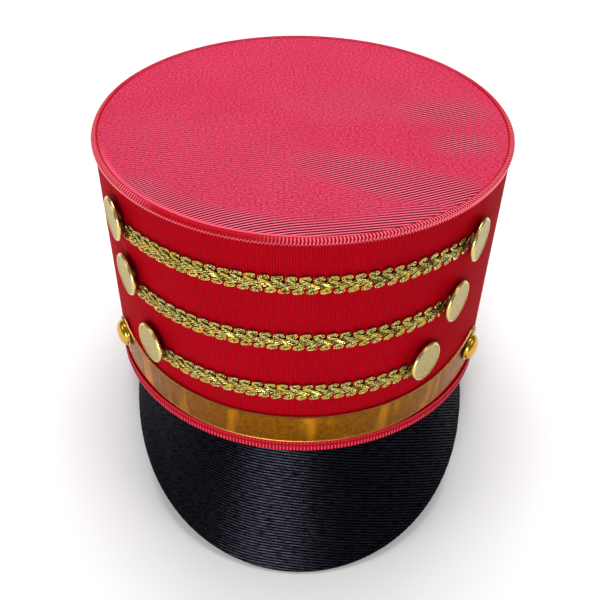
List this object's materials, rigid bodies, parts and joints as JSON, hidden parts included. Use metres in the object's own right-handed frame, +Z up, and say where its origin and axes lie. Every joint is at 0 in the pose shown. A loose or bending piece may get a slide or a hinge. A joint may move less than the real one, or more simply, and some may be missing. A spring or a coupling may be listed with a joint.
{
  "type": "honor guard hat",
  "caption": "Tall red parade hat with a flat top, steep black peak, looped gold braids ending under flat gold buttons, and a gold strap round the lower front.",
  "frame": {"origin": "middle of the bottom of the hat's box, on the surface that it stands on", "axes": "+Z up, -Y towards the peak, +X to the right as seen from the front; the hat stands on its peak's front edge and on the back of its lower edge, so its own axis leans back by 14.1 degrees"},
  "size_m": [0.1944, 0.2568, 0.1654],
  "materials": {
    "crown_cloth": "matt red ribbed cloth, upright ribs",
    "top_satin": "red ribbed cloth with a pink satin sheen",
    "rim_cloth": "red ribbed cloth rolled over the edge",
    "binding_cloth": "red binding with crosswise ribs",
    "peak_cloth": "black ribbed cloth with a faint sheen",
    "strap_gold": "gold metallic coated strap, softly mottled",
    "braid_gold": "twisted metallic gold thread",
    "button_gold": "pale matt gold face, bright edge",
    "dome_brass": "polished gold"
  },
  "bodies": {
    "root": {"crown_wall": "crown_cloth", "crown_top": "top_satin", "top_rim": "rim_cloth", "bottom_binding": "binding_cloth", "peak": "peak_cloth", "gold_strap": "strap_gold", "braid_upper": "braid_gold", "braid_middle": "braid_gold", "braid_lower": "braid_gold", "button_upper_left": "button_gold", "button_upper_right": "button_gold", "button_middle_left": "button_gold", "button_middle_right": "button_gold", "button_lower_left": "button_gold", "button_lower_right": "button_gold", "strap_button_left": "dome_brass", "strap_button_right": "dome_brass"}
  },
  "joints": []
}
